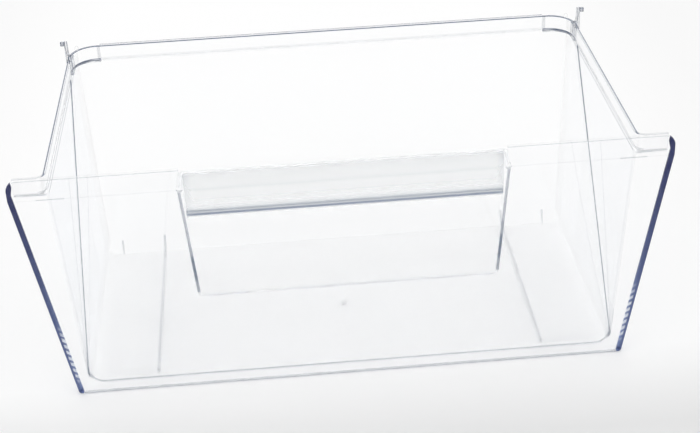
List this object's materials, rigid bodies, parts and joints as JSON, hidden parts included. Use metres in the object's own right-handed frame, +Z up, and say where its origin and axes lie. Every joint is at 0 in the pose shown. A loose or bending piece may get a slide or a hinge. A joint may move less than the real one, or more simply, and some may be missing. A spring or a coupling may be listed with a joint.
{
  "type": "refrigerator drawer",
  "caption": "Clear moulded refrigerator drawer with a thick tapered front panel, a scooped handle pocket under a frosted grip, a stepped slide rim and rear stops.",
  "frame": {"origin": "centre of the drawer's footprint, at the level of the surface that it stands on", "axes": "+X to the drawer's right as seen from its front, +Y towards its back, +Z up"},
  "size_m": [0.4872, 0.246, 0.219],
  "materials": {
    "clear_shell": "polished clear polystyrene, thin wall",
    "clear_panel": "polished clear polystyrene, thick, blue at the edges",
    "frosted_grip": "fine satin clear polystyrene"
  },
  "bodies": {
    "root": {"bin": "clear_shell", "front_panel": "clear_panel", "handle_pocket": "clear_panel", "handle_grip": "frosted_grip", "rear_stop_left": "clear_shell", "rear_stop_right": "clear_shell"}
  },
  "joints": []
}
